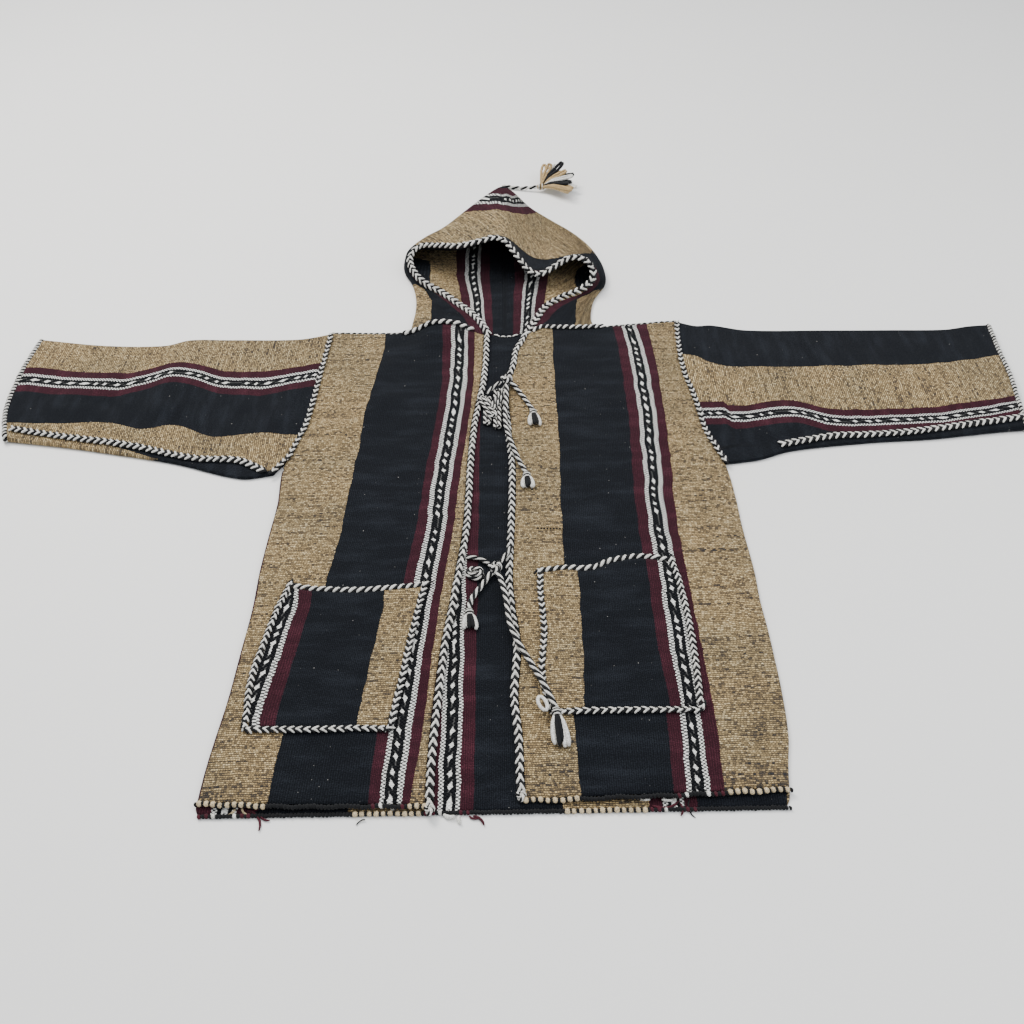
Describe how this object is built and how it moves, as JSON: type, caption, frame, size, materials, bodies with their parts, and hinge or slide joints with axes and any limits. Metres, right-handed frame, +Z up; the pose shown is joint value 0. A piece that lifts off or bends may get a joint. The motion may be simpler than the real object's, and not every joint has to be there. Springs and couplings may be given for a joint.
{
  "type": "baja hoodie",
  "caption": "Open-front hooded jacket of striped hand-woven wool, laid flat on its back, with braided edges, patch pockets, cord ties with tassels and a pointed hood ending in a tassel.",
  "frame": {"origin": "flat underside of the back panel, on the middle line, 400 mm above the middle of the front hem", "axes": "+X towards the wearer's left sleeve, +Y from the hem towards the hood, +Z up off the surface that it lies on"},
  "size_m": [1.5074, 1.3585, 0.0745],
  "materials": {
    "cloth": "matte heathered hand-woven wool in tan, charcoal, wine and white stripes",
    "braid": "matte plaited yarn, white with black",
    "hem_yarn": "matte overcast yarn, tan and black"
  },
  "bodies": {
    "root": {"armhole_braid_left": "braid", "armhole_braid_right": "braid", "body": "cloth", "cuff_braid_left": "braid", "cuff_braid_right": "braid", "edge_knot_left": "braid", "edge_knot_right": "braid", "front_braid_left": "braid", "front_braid_right": "braid", "hem_cord_back": "hem_yarn", "hem_cord_left": "hem_yarn", "hem_cord_right": "hem_yarn", "hood": "cloth", "hood_cord": "braid", "hood_rim_braid": "braid", "hood_tassel": "hem_yarn", "neck_braid_left": "braid", "neck_braid_right": "braid", "pocket_braid_left": "braid", "pocket_braid_right": "braid", "pocket_left": "cloth", "pocket_right": "cloth", "shoulder_braid_left": "braid", "shoulder_braid_right": "braid", "sleeve_left": "cloth", "sleeve_right": "cloth", "sleeve_seam_braid_left": "braid", "sleeve_seam_braid_right": "braid", "tie_lower_bridge_1": "braid", "tie_lower_bridge_2": "braid", "tie_lower_knot": "braid", "tie_lower_long_cord": "braid", "tie_lower_long_tassel": "braid", "tie_lower_loop_1": "braid", "tie_lower_short_cord": "braid", "tie_lower_short_tassel": "braid", "tie_upper_bridge_1": "braid", "tie_upper_knot": "braid", "tie_upper_long_cord": "braid", "tie_upper_long_tassel": "braid", "tie_upper_loop_1": "braid", "tie_upper_loop_2": "braid", "tie_upper_short_cord": "braid", "tie_upper_short_tassel": "braid"}
  },
  "joints": []
}
